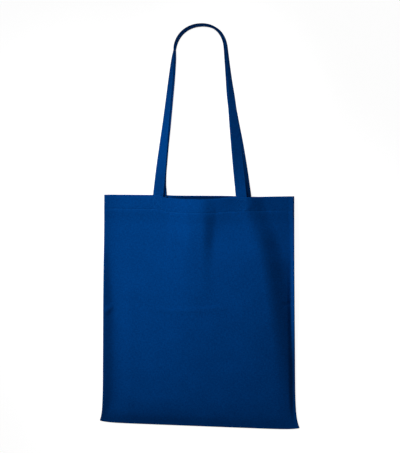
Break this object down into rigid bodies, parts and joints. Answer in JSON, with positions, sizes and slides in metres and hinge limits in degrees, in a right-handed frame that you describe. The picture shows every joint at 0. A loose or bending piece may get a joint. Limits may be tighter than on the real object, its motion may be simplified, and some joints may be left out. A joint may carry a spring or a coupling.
{
  "type": "cotton tote bag",
  "caption": "Plain navy cotton tote bag with long cloth handles, lying flat on its back panel with a slightly puffed front.",
  "frame": {"origin": "middle of the bag's back panel side, on the surface it lies on, halfway between the bottom fold and the crown of the handles", "axes": "+X to the bag's right seen from the front, +Y from the bottom fold towards the handles, +Z out of the front panel"},
  "size_m": [0.372, 0.7322, 0.024],
  "materials": {
    "navy_cotton": "matt plain weave"
  },
  "bodies": {
    "root": {"bag_body": "navy_cotton", "front_handle": "navy_cotton", "back_handle": "navy_cotton"}
  },
  "joints": []
}
